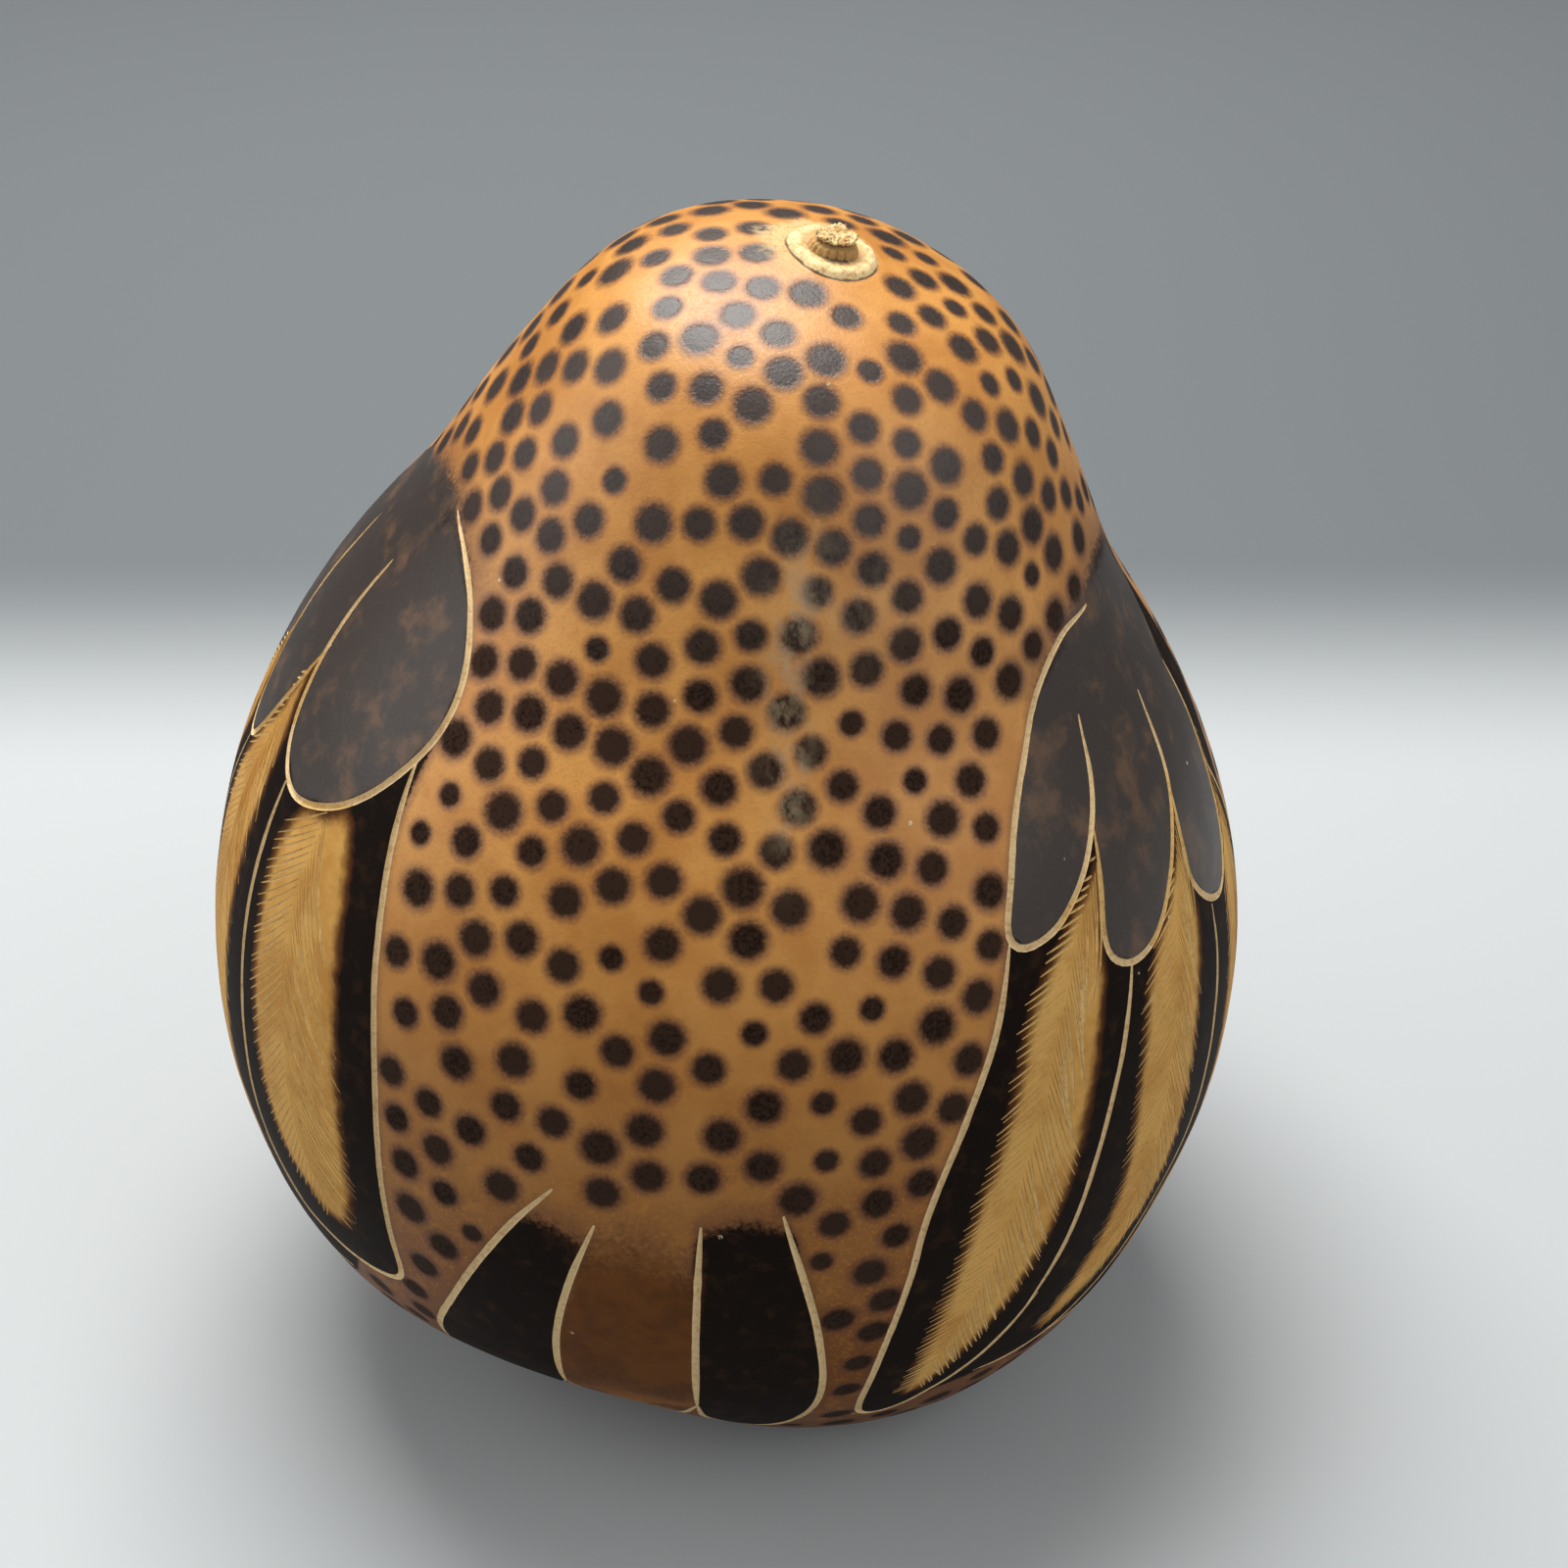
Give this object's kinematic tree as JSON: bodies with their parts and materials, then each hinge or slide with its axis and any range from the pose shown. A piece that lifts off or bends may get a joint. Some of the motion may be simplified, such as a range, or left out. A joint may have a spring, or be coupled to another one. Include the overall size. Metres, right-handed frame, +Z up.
{
  "type": "carved gourd",
  "caption": "Dried pear-shaped gourd, burnt and engraved as a bird: dotted head and back, feathered wings down the sides, a short tail low on the back, and a stem scar on the crown.",
  "frame": {"origin": "middle of the flat spot that the gourd rests on", "axes": "+Z up towards the stem scar, -Y towards the middle of the carved back, +X to the right when looking at the back, so the bird's face is on the +Y side"},
  "size_m": [0.1419, 0.142, 0.1691],
  "materials": {
    "gourd_skin": "dried gourd skin, golden brown with burnt dots and feathers, satin polish"
  },
  "bodies": {
    "root": {"gourd": "gourd_skin"}
  },
  "joints": []
}
